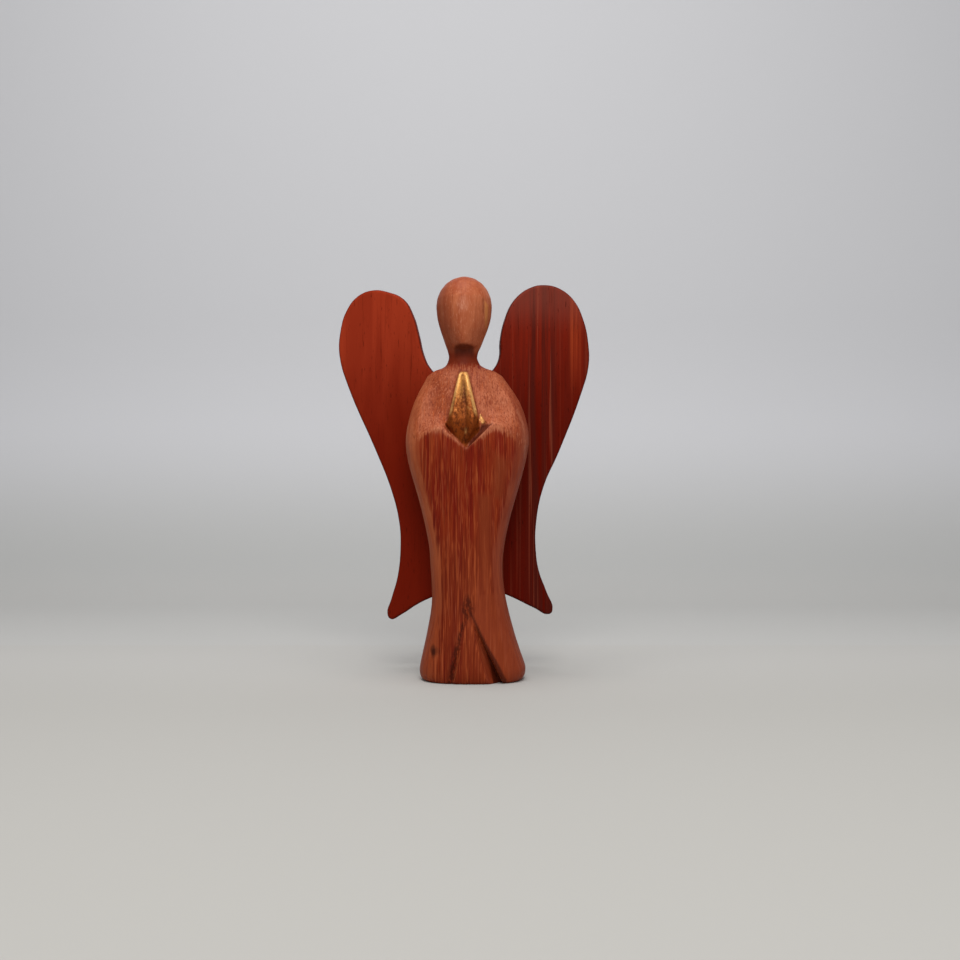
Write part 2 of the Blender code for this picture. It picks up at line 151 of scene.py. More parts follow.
# Heights between which one wood's colour turns into the next
BROWN_BORDER = (0.090, 0.050)
STREAK_BORDER = (0.156, 0.151)
NECK_BORDER = (0.1545, 0.1575)
HEAD_BORDER = (0.160, 0.167)
# The wings' run also stands in for light falling off from above, as painted light
WING_FALLOFF_BORDER = (0.190, 0.108)


def linear(red, green, blue):
    """A colour as shown on screen, 0 to 255, as the renderer's own values."""
    shown = [value / 255 for value in (red, green, blue)]
    made = [v / 12.92 if v < 0.04045 else ((v + 0.055) / 1.055) ** 2.4 for v in shown]
    return (*made, 1.0)


# Colours of the backdrop
FLOOR_FRONT = linear(181, 179, 174)
FLOOR_MIDDLE = linear(190, 188, 184)
FLOOR_BEHIND = linear(191, 190, 187)
# The wall's foot, darkened as painted shade
WALL_FOOT_SHADE = linear(188, 188, 186)
WALL_HIGH = linear(214, 214, 217)

# Colours of the figure's wood, as pairs where they drift between two
ROBE = (linear(122, 25, 6), linear(140, 46, 15))
ROBE_BROWN = (linear(104, 28, 6), linear(124, 46, 15))
ROBE_PLAIN = linear(134, 54, 25)
CHEST = (linear(146, 66, 36), linear(180, 100, 68))
# The smoothed sides: painted light on the angel's right side and painted shade on its left
SIDE_RIGHT_LIT = (linear(160, 74, 40), linear(178, 95, 57))
SIDE_LEFT_SHADED = (linear(134, 54, 32), linear(152, 72, 46))
NECK = linear(118, 40, 17)
HEAD = (linear(158, 74, 43), linear(188, 106, 70))
HEAD_FIBRE = linear(128, 52, 28)
HEAD_FLECK = linear(212, 138, 104)
# Painted shade on the head's right side
HEAD_RIGHT_SHADE = linear(120, 54, 34)
# Painted shade where the head faces up
HEAD_CROWN_SHADE = linear(140, 58, 32)
HEAD_STRIPE = linear(96, 36, 18)
HEAD_STREAK = linear(208, 138, 72)
# A painted highlight on the forehead
PAINTED_HEAD_HIGHLIGHT = linear(214, 148, 120)
# Painted shade under the chin
PAINTED_CHIN_SHADE = linear(66, 18, 10)
PALE_FIBRE = linear(174, 82, 42)
DARK_FIBRE = linear(88, 14, 4)
DUST_LIGHT = linear(206, 130, 96)
DUST_DARK = linear(112, 40, 22)
# Pale edges, partly worn and partly painted highlight
RUBBED_AND_HIGHLIT = linear(196, 124, 92)
TORN = linear(66, 18, 5)
# Painted shade and dirt in the split of the hem
SPLIT_SHADE_AND_DIRT = linear(62, 16, 3)
# Painted shade in the cut round the hands and in the recess below the thumb
CUT_SHADE = linear(70, 14, 6)
KNOT_DARK = linear(48, 10, 2)

# Colours of the gilding, from its upper end down
LEAF = (linear(186, 118, 54), linear(206, 142, 74))
# Darker towards the bottom: worn leaf and painted shade on the downward-facing lower hands
LEAF_WORN_AND_SHADED = linear(140, 70, 25)
LEAF_LOW_BROWN_AND_SHADED = linear(132, 58, 15)
LEAF_THUMB = linear(134, 62, 24)
LEAF_BARE = linear(88, 36, 8)
LEAF_SPECKLE = linear(206, 150, 88)
# Painted highlights on the gilding
LEAF_HIGHLIGHT = linear(252, 192, 116)
LEAF_GROOVE = linear(70, 24, 6)

# Colours of the wings
# Each board's upper and lower colour: the wood's own run, with painted light falling off from above
RIGHT_BOARD_AND_FALLOFF = (linear(160, 54, 29), linear(113, 26, 9))
RIGHT_BAND = linear(112, 24, 10)
RIGHT_PORE = linear(64, 12, 4)
LEFT_BOARD_AND_FALLOFF = (linear(124, 32, 16), linear(93, 14, 3))
LEFT_DARK = linear(76, 24, 17)
LEFT_PALE = linear(150, 74, 52)
LEFT_ORANGE = linear(168, 66, 34)
# A painted grey sheen at the top of the left wing
LEFT_PAINTED_SHEEN = linear(128, 66, 54)
LEFT_PORE = linear(50, 10, 5)
BOARD_RIM = linear(62, 16, 12)


def smooth_step(low, high, value):
    """0 at low and 1 at high, with a smooth run between."""
    share = np.clip((value - low) / (high - low), 0, 1)
    return share * share * (3 - 2 * share)


# Material nodes


class Paint:
    """A material in the making: short calls that add nodes and join them."""

    def __init__(self, name):
        self.material = bpy.data.materials.new(name)
        self.material.use_nodes = True
        self.tree = self.material.node_tree
        self.shader = self.tree.nodes["Principled BSDF"]
        self.place = self.add("ShaderNodeTexCoord").outputs["Object"]

    def add(self, kind, **settings):
        node = self.tree.nodes.new(kind)
        for name, value in settings.items():
            setattr(node, name, value)
        return node

    def join(self, value, socket):
        if isinstance(value, bpy.types.NodeSocket):
            self.tree.links.new(value, socket)
        else:
            socket.default_value = value

    def attribute(self, name):
        return self.add("ShaderNodeAttribute", attribute_name=name).outputs["Fac"]

    def stretched(self, scale):
        mapping = self.add("ShaderNodeMapping")
        self.join(self.place, mapping.inputs["Vector"])
        mapping.inputs["Scale"].default_value = scale
        return mapping.outputs["Vector"]

    def noise(self, scale, detail, rough, distortion=0.0):
        """Noise from 0 to 1 with this many lumps a metre along x, y and z."""
        node = self.add("ShaderNodeTexNoise")
        self.join(self.stretched(scale), node.inputs["Vector"])
        node.inputs["Scale"].default_value = 1.0
        node.inputs["Detail"].default_value = detail
        node.inputs["Roughness"].default_value = rough
        node.inputs["Distortion"].default_value = distortion
        return node.outputs["Fac"]

    def fibres(self, across, along, detail, rough, distortion=0.0):
        """Upright fibres, fine across the front and the back, and fine across the sides."""
        deep = across * FIBRE_DEPTH
        ahead = self.noise((across, deep, along), detail, rough, distortion)
        aside = self.noise((deep, across, along), detail, rough, distortion)
        turned = self.ramp(self.maths("ABSOLUTE", self.facing("X")), 0.68, 0.78)
        return self.mix(turned, ahead, aside)

    def ramp(self, value, low, high, start=0.0, end=1.0):
        """The value's run from low to high, turned into a smooth run from start to end."""
        node = self.add("ShaderNodeMapRange", interpolation_type="SMOOTHSTEP")
        self.join(value, node.inputs["Value"])
        for name, number in zip(("From Min", "From Max", "To Min", "To Max"), (low, high, start, end)):
            node.inputs[name].default_value = number
        return node.outputs["Result"]

    def maths(self, operation, first, second=0.0):
        node = self.add("ShaderNodeMath", operation=operation)
        self.join(first, node.inputs[0])
        self.join(second, node.inputs[1])
        return node.outputs[0]

    def times(self, first, second):
        return self.maths("MULTIPLY", first, second)

    def rest(self, value):
        """What the value leaves of 1."""
        return self.maths("SUBTRACT", 1.0, value)

    def mark(self, name, share):
        """A stored mark, weakened to this share."""
        return self.times(self.attribute(name), share)

    def mix(self, share, first, second):
        node = self.add("ShaderNodeMix", data_type="RGBA")
        self.join(share, node.inputs[0])
        self.join(first, node.inputs[6])
        self.join(second, node.inputs[7])
        return node.outputs[2]

    def bump(self, height, depth, strength, below=None):
        node = self.add("ShaderNodeBump")
        node.inputs["Distance"].default_value = depth
        node.inputs["Strength"].default_value = strength
        self.join(height, node.inputs["Height"])
        if below is not None:
            self.join(below, node.inputs["Normal"])
        return node.outputs["Normal"]

    def axis(self, name):
        node = self.add("ShaderNodeSeparateXYZ")
        self.join(self.place, node.inputs[0])
        return node.outputs[name]

    def facing(self, name):
        """The surface normal's part along one axis."""
        geometry = self.add("ShaderNodeNewGeometry")
        node = self.add("ShaderNodeSeparateXYZ")
        self.join(geometry.outputs["Normal"], node.inputs[0])
        return node.outputs[name]


# Camera, light and floor


def add_camera():
    data = bpy.data.cameras.new("camera")
    data.lens = FOCAL_LENGTH
    data.sensor_width = SENSOR_WIDTH
    camera = bpy.data.objects.new("camera", data)
    camera.location = (CAMERA_SIDE, FRONT_SHIFT - CAMERA_DISTANCE, CAMERA_HEIGHT)
    camera.rotation_euler = (math.pi / 2, 0, 0)
    bpy.context.scene.collection.objects.link(camera)
    bpy.context.scene.camera = camera


def add_area_light(name, place, size, power, colour=(1, 1, 1)):
    data = bpy.data.lights.new(name, "AREA")
    data.shape = "RECTANGLE"
    data.size, data.size_y = size
    data.energy = power
    data.color = colour
    light = bpy.data.objects.new(name, data)
    light.location = place
    light.rotation_euler = (Vector(LIT_POINT) - Vector(place)).to_track_quat("-Z", "Y").to_euler()
    bpy.context.scene.collection.objects.link(light)


def add_studio():
    """A soft window light from the front and above, one from overhead, and weak fill."""
    world = bpy.data.worlds.new("studio")
    world.use_nodes = True
    background = world.node_tree.nodes["Background"]
    background.inputs["Color"].default_value = (0.95, 0.97, 1.0, 1)
    background.inputs["Strength"].default_value = 0.28
    bpy.context.scene.world = world
    bpy.context.scene.view_settings.view_transform = "Standard"
    add_area_light("window", (0.04, -0.92, 0.76), (0.5, 0.4), 5.4, (1, 0.985, 0.96))
    add_area_light("overhead", (-0.05, -0.18, 1.0), (0.7, 0.6), 6.0)
    add_area_light("fill", (0.8, -0.6, 0.3), (0.5, 0.6), 0.5)


def sweep_profile():
    """The backdrop's section as y and height: the floor, the curve and the wall."""
    profile = [(-SWEEP_REACH, 0.0)]
    for step in range(SWEEP_STEPS + 1):
        angle = math.radians(90) * step / SWEEP_STEPS
        back = SWEEP_BACK - SWEEP_TURN + SWEEP_TURN * math.sin(angle)
        profile.append((back, SWEEP_TURN - SWEEP_TURN * math.cos(angle)))
    return [*profile, (SWEEP_BACK, SWEEP_TALL)]


def add_floor():
    """A sweep that runs from the floor in front to a wall far behind, with a long curve between."""
    mesh = bmesh.new()
    rows = [
        [mesh.verts.new((x, y, z)) for x in (-SWEEP_REACH, SWEEP_REACH)] for y, z in sweep_profile()
    ]
    for low, high in zip(rows, rows[1:]):
        face = mesh.faces.new((low[0], low[1], high[1], high[0]))
        face.smooth = True
    data = bpy.data.meshes.new("sweep")
    mesh.to_mesh(data)
    mesh.free()
    sweep = bpy.data.objects.new("sweep", data)
    bpy.context.scene.collection.objects.link(sweep)
    data.materials.append(backdrop_material())


def backdrop_material():
    """Pale paper under the figure, which ends behind it, and a paler wall beyond, darker at its foot with
    painted shade.
    """
    paint = Paint("pale_backdrop")
    height = paint.axis("Z")
    depth = paint.axis("Y")
    wall = paint.mix(paint.ramp(height, 0.02, 0.16), WALL_FOOT_SHADE, WALL_HIGH)
    far = paint.mix(paint.ramp(height, 0.0, 0.03), FLOOR_BEHIND, wall)
    near = paint.mix(paint.ramp(depth, -0.10, 0.10), FLOOR_FRONT, FLOOR_MIDDLE)
    beyond = paint.ramp(depth, FLOOR_EDGE, FLOOR_EDGE + 4 * MM)
    paint.join(paint.mix(beyond, near, far), paint.shader.inputs["Base Color"])
    paint.shader.inputs["Roughness"].default_value = 0.8
    return paint.material


# Distances in the front view


def line_distance(out, z, start, end):
    """Distance from a line between two points in millimetres."""
    (x0, z0), (x1, z1) = start, end
    run, rise = (x1 - x0) * MM, (z1 - z0) * MM
    along, above = out - x0 * MM, z - z0 * MM
    share = np.clip((along * run + above * rise) / (run**2 + rise**2), 0, 1)
    return np.hypot(along - share * run, above - share * rise)


def path_distance(out, z, path):
    """Distance from a chain of points."""
    return np.min([line_distance(out, z, start, end) for start, end in zip(path, path[1:])], axis=0)


def outline_distance(out, z, outline):
    """Distance from a closed outline, below 0 inside it."""
    inside = np.zeros(len(out), bool)
    for (x0, z0), (x1, z1) in zip(outline, outline[1:] + outline[:1]):
        crosses = (z0 * MM > z) != (z1 * MM > z)
        slope = (x1 - x0) / (z1 - z0) if z1 != z0 else 0.0
        inside ^= crosses & (out < slope * (z - z0 * MM) + x0 * MM)
    gap = path_distance(out, z, outline + outline[:1])
    return np.where(inside, -gap, gap)


def soft_inside(out, z, outline, edge):
    """1 inside an outline and 0 outside it, over a border of this width."""
    return 1 - smooth_step(-edge, edge, outline_distance(out, z, outline))


# Fine meshes


def kept_creases(points):
    """The points on edges that belong to the carving, and not to facets of the chest or the robe."""
    x, y, z = np.array(points).T
    out = x - SIDE_SHIFT
    in_kite = (z < 135 * MM) & (outline_distance(out, z, KITE) < -1 * MM)
    in_kite &= path_distance(out, z, HAND_GROOVE) > 1.5 * MM
    on_hands = outline_distance(out, z, GILDED) < CREASE_REACH
    on_recess = outline_distance(out, z, RECESS) < CREASE_REACH
    on_hem = z < (ROUGH_PATCH[1] + 2) * MM
    on_chin = (z > 160 * MM) & (z < 168 * MM) & (np.abs(out) < 4.4 * MM)
    behind = y > 5 * MM
    stays = (on_hands | on_recess | on_hem | on_chin | behind) & ~in_kite
    return [point for point, stay in zip(points, stays) if stay]


def sharp_points(mesh):
    """Points along the model's edges that are sharper than CREASE_ANGLE, a millimetre apart."""
    shape = bmesh.new()
    shape.from_mesh(mesh)
    bmesh.ops.remove_doubles(shape, verts=shape.verts, dist=0.001 * MM)
    points = []
    for edge in shape.edges:
        if len(edge.link_faces) == 2 and edge.calc_face_angle() > CREASE_ANGLE:
            start, end = (vertex.co.copy() for vertex in edge.verts)
            steps = max(1, math.ceil((end - start).length / MM))
            points += [start.lerp(end, step / steps) for step in range(steps + 1)]
    shape.free()
    return points


def nearest(points, places, most):
    """How far each place is from the nearest of the points, up to most."""
    tree = KDTree(len(points))
    for index, point in enumerate(points):
        tree.insert(point, index)
    tree.balance()
    return np.array([min(tree.find(place)[2], most) for place in places])


def fine_copy(node, name, voxel):
    """An evenly meshed copy of a node, to be smoothed and carved."""
    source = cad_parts[node]
    thing = bpy.data.objects.new(name, source.data.copy())
    bpy.context.scene.collection.objects.link(thing)
    thing.data.materials.clear()
    remesh = thing.modifiers.new("fine", "REMESH")
    remesh.mode = "VOXEL"
    remesh.voxel_size = voxel
    remesh.adaptivity = 0
    bpy.context.view_layer.update()
    graph = bpy.context.evaluated_depsgraph_get()
    fine = bpy.data.meshes.new_from_object(thing.evaluated_get(graph))
    thing.modifiers.clear()
    thing.data = fine
    fine.name = name
    fine.shade_smooth()
    return thing


class Surface:
    """A mesh's points as arrays, with what smoothing and carving need."""

    def __init__(self, mesh):
        self.mesh = mesh
        self.places = np.empty(len(mesh.vertices) * 3)
        mesh.vertices.foreach_get("co", self.places)
        self.places = self.places.reshape(-1, 3)
        edges = np.empty(len(mesh.edges) * 2, np.int64)
        mesh.edges.foreach_get("vertices", edges)
        self.starts, self.ends = edges.reshape(-1, 2).T
        self.neighbours = np.bincount(edges, minlength=len(self.places)).astype(float)

    def around(self):
        """The average place of each point's neighbours."""
        total = np.empty_like(self.places)
        for axis, values in enumerate(self.places.T):
            total[:, axis] = np.bincount(self.starts, values[self.ends], len(values))
            total[:, axis] += np.bincount(self.ends, values[self.starts], len(values))
        return total / self.neighbours[:, None]

    def smooth(self, passes, freedom):
        """Evens the surface without shrinking it. A point moves by its freedom, 0 to 1."""
        for _ in range(passes):
            for strength in (0.55, -0.57):
                self.places += (self.around() - self.places) * strength * freedom[:, None]

    def write(self):
        """Gives the mesh its points as they stand now."""
        self.mesh.vertices.foreach_set("co", self.places.ravel())
        self.mesh.update()

    def normals(self):
        self.write()
        found = np.empty(len(self.places) * 3)
        self.mesh.vertices.foreach_get("normal", found)
        return found.reshape(-1, 3)

    def push(self, amounts):
        """Moves each point along its normal."""
        self.places += self.normals() * amounts[:, None]

    def store(self, name, values):
        attribute = self.mesh.attributes.new(name, "FLOAT", "POINT")
        attribute.data.foreach_set("value", np.asarray(values, np.float32))


def waves(places, scale, seed, stretch=1.0):
    """Smooth noise from -1 to 1, with its lumps stretched along the height."""
    offset = Vector((seed * 7.31, seed * 3.17, seed * 5.73))
    across = 1 / scale
    along = across / stretch
    return np.array(
        [noise.noise(Vector((x * across, y * across, z * along)) + offset) for x, y, z in places]
    )


def knife_facets(places, scale, seed, stretch):
    """Shallow scoops like a knife's or a gouge's: 0 at a scoop's middle, 1 at its rim."""
    offset = Vector((seed * 4.7, seed * 2.9, seed * 6.1))
    across = 1 / scale
    along = across / stretch
    found = []
    for x, y, z in places:
        distances, _ = noise.voronoi(Vector((x * across, y * across, z * along)) + offset)
        found.append(min(distances[0], 1.0))
    return np.array(found) ** 2


# Carving


class Spots:
    """Where each point of the figure lies and faces, and a chipped noise from about 0 to 1."""

    def __init__(self, surface):
        self.places = surface.places.copy()
        x, self.y, self.z = self.places.T
        self.out = x - SIDE_SHIFT
        self.front = smooth_step(0.1, 0.6, -surface.normals()[:, 1])
        self.ahead = self.y < GILDED_BEHIND
        self.chips = 0.5 + 0.5 * waves(self.places, 1.1 * MM, 6, 1.6)

    def inside(self, outline, edge):
        return soft_inside(self.out, self.z, outline, edge)

    def from_path(self, path):
        return path_distance(self.out, self.z, path)

    def from_point(self, point, wide, tall):
        """Distance from a point in millimetres, with x and height weighted by wide and tall."""
        return np.hypot((self.out - point[0] * MM) * wide, (self.z - point[1] * MM) * tall)


def wood_marks(at):
    """Knife scoops, a slow swell and fine ripples, as heights."""
    marks = SCOOP_DEPTH * knife_facets(at.places, 11 * MM, 1, 2.2)
    marks += SWELL_DEPTH * waves(at.places, 16 * MM, 3, 1.8)
    return marks + RIPPLE_DEPTH * waves(at.places, 1.6 * MM, 4, 4.0)


def above_heart(at):
    """How far a point lies above the sleeves' upper edge."""
    on_right = at.out < HEART_FOOT[0]
    lobe_x = np.where(on_right, HEART_RIGHT[0], HEART_LEFT[0])
    lobe_z = np.where(on_right, HEART_RIGHT[1], HEART_LEFT[1])
    share = (at.out - HEART_FOOT[0]) / (lobe_x - HEART_FOOT[0])
    rising = HEART_FOOT[1] + (lobe_z - HEART_FOOT[1]) * share
    falling = lobe_z - HEART_FALL * (at.out - lobe_x) ** 2
    return at.z - np.where(share < 1, rising, falling)


def worn_away(at):
    """How far the sleeves' upper edge is worn down."""
    on_left = smooth_step(2 * MM, 9 * MM, at.out)
    on_right = smooth_step(-2 * MM, -8 * MM, at.out)
    return WORN_LEFT * on_left + WORN_RIGHT * on_right


def dusty_chest(at):
    """1 on the chest and 0 on the robe, ragged along the sleeves' upper edge."""
    ragged = 1.4 * MM * waves(at.places, 2.0 * MM, 7, 2.5)
    broken = above_heart(at) + worn_away(at) + ragged
    return smooth_step(-2.4 * MM, 1.8 * MM, broken) * smooth_step(160 * MM, 150 * MM, at.z)


def rubbed_edge_highlights(at):
    """Pale wear with painted highlights along the sleeves' upper edge, and painted highlights down each
    elbow.
    """
    from_middle = np.abs(at.out)
    width = (0.45 + 1.7 * smooth_step(6 * MM, 12 * MM, from_middle)) * MM
    sleeves = np.exp(-(((above_heart(at) + 0.3 * worn_away(at)) / width) ** 2)) * at.front * at.chips
    sleeves *= 1 - smooth_step(13 * MM, 19 * MM, from_middle)
    elbow_highlights = np.min([at.from_path(path) for path in ELBOW_HIGHLIGHTS], axis=0)
    elbow_highlights = 0.8 * np.exp(-((elbow_highlights / (0.7 * MM)) ** 2)) * at.chips * (at.y < 0)
    return sleeves, elbow_highlights


def hand_areas(at):
    """The gilded hands, the bit of thumb beside them and the cut below it, each from 0 to 1."""
    thumb = at.inside(THUMB, 0.35 * MM) * at.ahead
    recess = at.inside(RECESS, 0.35 * MM) * at.ahead * (1 - thumb)
    gold = at.inside(GILDED, 0.25 * MM) * at.ahead
    return np.maximum(gold * (1 - recess), thumb), thumb, recess


def hand_cuts(at, gold):
    """The cut line round the hands' kite and the groove between them, each from 0 to 1."""
    kite_gap = outline_distance(at.out, at.z, KITE)
    ring = np.exp(-(((kite_gap - 0.6 * MM) / (0.45 * MM)) ** 2)) * at.ahead * (at.z > 128 * MM)
    width = (0.4 + 0.6 * smooth_step(149 * MM, 144 * MM, at.z)) * MM
    groove = np.exp(-((at.from_path(HAND_GROOVE) / width) ** 2)) * gold * (0.35 + 0.65 * at.chips)
    return ring, groove


def painted_leaf_highlights(at, gold, thumb):
    """Painted highlights on the gilding: along the kite's two edges, on the thumb and at one glint."""
    upper = 0.45 + 0.55 * smooth_step(138 * MM, 146 * MM, at.z)
    left = smooth_step(1.9 * MM, 0.9 * MM, at.from_path(LEFT_HAND_EDGE)) * (0.7 + 0.3 * upper)
    right = smooth_step(1.6 * MM, 0.6 * MM, at.from_path(RIGHT_HAND_EDGE)) * upper
    edges = np.maximum(left, right) * gold * smooth_step(129 * MM, 133 * MM, at.z)
    glint = at.from_point(GLINT, 1 / 0.6, 1 / 1.9)
    glint = 0.8 * (1 - smooth_step(0.2 * MM, 1.2 * MM, glint)) * at.chips * at.ahead
    return np.max([edges, thumb * 0.7 * smooth_step(10.4 * MM, 8.4 * MM, at.out), glint], axis=0)


def hem_marks(at):
    """The dark gap of the split, with painted shade and dirt, the scored line and the rough patch above
    them, each from 0 to 1.
    """
    opening_shade_and_dirt = at.inside(OPENING, 0.35 * MM) * at.front
    wander = at.from_path(SCORED) + 0.7 * MM * (at.chips - 0.5)
    width = (0.9 + 0.6 * smooth_step(26 * MM, 4 * MM, at.z)) * MM
    scored = np.exp(-((wander / width) ** 2)) * at.front
    patch = 1 - smooth_step(0.6 * MM, 4.4 * MM, at.from_point(ROUGH_PATCH, 1, 0.5))
    return opening_shade_and_dirt, scored, patch * at.front


def knot_mark(at):
    """One small dark knot with a faint smudge beside it."""
    knot = at.from_point(KNOT, 1.4, 0.7) + 1.2 * MM * (at.chips - 0.5)
    knot = 1 - smooth_step(0.7 * MM, 2.9 * MM, knot)
    smudge = 1 - smooth_step(0.5 * MM, 2.8 * MM, at.from_point(SMUDGE, 1, 1))
    return np.maximum(knot, 0.4 * smudge) * at.front


def painted_chin_shade(at):
    """Painted shade under the chin's flat cut, curved like a smile, in front of the neck."""
    smile = at.z + 0.03 / MM * at.out**2
    chin = smooth_step(157.6 * MM, 162.6 * MM, smile) * smooth_step(166.4 * MM, 164.9 * MM, smile)
    ahead = smooth_step(CHIN_SHADE_BEHIND + 0.5 * MM, CHIN_SHADE_BEHIND - 0.5 * MM, at.y)
    chin *= ahead * smooth_step(5.6 * MM, 3.9 * MM, np.abs(at.out))
    return chin * (0.7 + 0.3 * at.chips)


def plain_wood(at):
    """Smooth facets of the robe with few streaks."""
    return np.max([at.inside(outline, 2.5 * MM) for outline in PLAIN_FACETS], axis=0) * at.front


def carve_body():
    """The figure: facets and tool marks, rough cuts round the hands and in the hem, a knot."""
    thing = fine_copy("body", "carved_figure", BODY_VOXEL)
    surface = Surface(thing.data)
    sharp = kept_creases(sharp_points(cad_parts["body"].data))
    creases = nearest(sharp, surface.places, CREASE_SPAN)
    surface.smooth(BODY_PASSES, 0.12 + 0.88 * smooth_step(0.4 * MM, 2.4 * MM, creases))
    at = Spots(surface)
    gold, thumb, recess = hand_areas(at)
    ring, groove = hand_cuts(at, gold)
    opening_shade_and_dirt, scored, patch = hem_marks(at)
    knot = knot_mark(at)

    off_ground = smooth_step(0.4 * MM, 3 * MM, at.z)
    push = (1 - gold) * off_ground * wood_marks(at)
    push += gold * LUMP_DEPTH * waves(at.places, 1.3 * MM, 5)
    push += thumb * THUMB_LIFT - recess * RECESS_DEPTH - groove * GROOVE_DEPTH - knot * KNOT_DEPTH
    push -= ring * (0.12 + 0.3 * at.chips) * MM
    push -= scored * (0.15 + 0.45 * at.chips) * MM + patch * 0.4 * at.chips * MM
    surface.push(push)
    surface.places[:, 2] = np.maximum(surface.places[:, 2], 0)

    sleeves, elbow_highlights = rubbed_edge_highlights(at)
    rim = at.inside(RECESS, 1.2 * MM) * at.ahead * (1 - gold) * (1 - recess)
    # pale edges, partly worn and partly painted highlight
    rubbed_and_highlit = np.max([sleeves * (1 - gold), elbow_highlights, rim * at.chips * 0.8], axis=0)
    torn = np.maximum(scored * (0.5 + 0.8 * at.chips), patch * (0.55 + 0.7 * at.chips))
    deep = 0.4 + 0.6 * smooth_step(132 * MM, 140 * MM, at.z)
    head_highlight = at.from_point(HEAD_HIGHLIGHT_MIDDLE, 1 / 3.4, 1 / 4.6)
    marks = {
        "gold": gold,
        # painted highlights on the gilding
        "gold_highlight": painted_leaf_highlights(at, gold, thumb),
        "gold_dark": np.clip(1.5 * groove, 0, 1) * deep,
        "chest": dusty_chest(at),
        "rubbed_and_highlit": np.clip(rubbed_and_highlit, 0, 1),
        # painted shade in the cut round the hands and in the recess below the thumb
        "cut_shade": np.clip(np.maximum(ring * (0.1 + 0.8 * at.chips), recess), 0, 1),
        "opening_shade_and_dirt": opening_shade_and_dirt,
        "rough": np.clip(torn, 0, 1),
        "knot": knot,
        # a painted highlight on the forehead
        "head_highlight": (1 - smooth_step(0.3 * MM, 1.1 * MM, head_highlight)) * at.front,
        "head_dark": at.inside(HEAD_DARK, 0.5 * MM) * at.front,
        "head_pale": at.inside(HEAD_PALE, 0.5 * MM) * at.front,
        "plain": plain_wood(at),
        # painted shade under the chin
        "chin": painted_chin_shade(at),
    }
    for name, values in marks.items():
        surface.store(name, values)
    surface.write()
    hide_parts("body")
    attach(thing, "root")
    return thing


def sand_wing(node, name, seed):
    """A board: nearly flat faces with a faint saw and sanding swell, and softened edges."""
    thing = fine_copy(node, name, WING_VOXEL)
    surface = Surface(thing.data)
    creases = nearest(sharp_points(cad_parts[node].data), surface.places, CREASE_SPAN)
    surface.smooth(WING_PASSES, 0.25 + 0.75 * smooth_step(0.4 * MM, 2.0 * MM, creases))
    push = BOARD_SWELL * waves(surface.places, 22 * MM, seed, 2.0)
    push += BOARD_RIPPLE * waves(surface.places, 5 * MM, seed + 1, 3.0)
    surface.push(push)
    surface.write()
    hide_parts(node)
    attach(thing, "root")
    return thing


# Materials


def shared_values(paint):
    """The height, areas and noises that the figure's colours share."""
    chest = paint.attribute("chest")
    height = paint.axis("Z")
    turned = paint.maths("ABSOLUTE", paint.facing("X"))
    return SimpleNamespace(
        height=height,
        chest=chest,
        turned=turned,
        dusted=paint.times(chest, paint.ramp(turned, 0.65, 0.95, 1.0, 0.3)),
        rough_cut=paint.attribute("rough"),
        on_head=paint.ramp(height, *HEAD_BORDER),
        clouds=paint.noise((60, 60, 13), 3.0, 0.6, 0.4),
        flecks=paint.noise((1500, 1500, 400), 3.0, 0.6),
        mottle=paint.noise((800, 800, 480), 4.0, 0.65),
        fibres=paint.fibres(1300, 38, 2.0, 0.6),
    )


def robe_colour(paint, wood):
    broad = paint.fibres(300, 16, 3.0, 0.6, 0.3)
    robe = paint.mix(paint.ramp(broad, 0.36, 0.64), *ROBE)
    brown = paint.mix(paint.ramp(broad, 0.3, 0.7), *ROBE_BROWN)
    robe = paint.mix(paint.ramp(wood.height, *BROWN_BORDER, 0.0, 0.8), robe, brown)
    return paint.mix(paint.mark("plain", 0.85), robe, ROBE_PLAIN)


def head_colour(paint, wood):
    """Speckled, with painted shade on top and on its right side, a painted highlight on the forehead, and
    one dark and one pale stripe.
    """
    arcs = paint.noise((170, 170, 34), 3.0, 0.6, 0.6)
    head = paint.mix(paint.ramp(arcs, 0.26, 0.74), *HEAD)
    head = paint.mix(paint.ramp(wood.fibres, 0.46, 0.30, 0.0, 0.45), head, HEAD_FIBRE)
    head = paint.mix(paint.ramp(wood.flecks, 0.54, 0.68, 0.0, 0.35), head, HEAD_FLECK)
    # painted shade on the right side and on top
    head = paint.mix(paint.ramp(paint.facing("X"), -0.35, -0.85, 0.0, 0.5), head, HEAD_RIGHT_SHADE)
    head = paint.mix(paint.ramp(paint.facing("Z"), 0.35, 0.9, 0.0, 0.5), head, HEAD_CROWN_SHADE)
    head = paint.mix(paint.mark("head_dark", 0.45), head, HEAD_STRIPE)
    head = paint.mix(paint.mark("head_pale", 0.5), head, HEAD_STREAK)
    # a painted highlight on the forehead
    painted_highlight = paint.mark("head_highlight", paint.ramp(wood.flecks, 0.4, 0.62, 0.1, 0.5))
    return paint.mix(painted_highlight, head, PAINTED_HEAD_HIGHLIGHT)


def broad_colour(paint, wood):
    """The robe, the chest, the neck and the head, one above the other, with painted shade under the chin.
    """
    chest = paint.mix(paint.ramp(wood.clouds, 0.68, 0.32), *CHEST)
    ragged = paint.maths("ADD", wood.chest, paint.ramp(wood.fibres, 0.3, 0.7, -0.45, 0.45))
    colour = paint.mix(paint.ramp(ragged, 0.2, 0.8), robe_colour(paint, wood), chest)
    colour = paint.mix(paint.ramp(wood.height, *NECK_BORDER), colour, NECK)
    colour = paint.mix(wood.on_head, colour, head_colour(paint, wood))
    # painted shade under the chin
    return paint.mix(paint.mark("chin", 0.85), colour, PAINTED_CHIN_SHADE)


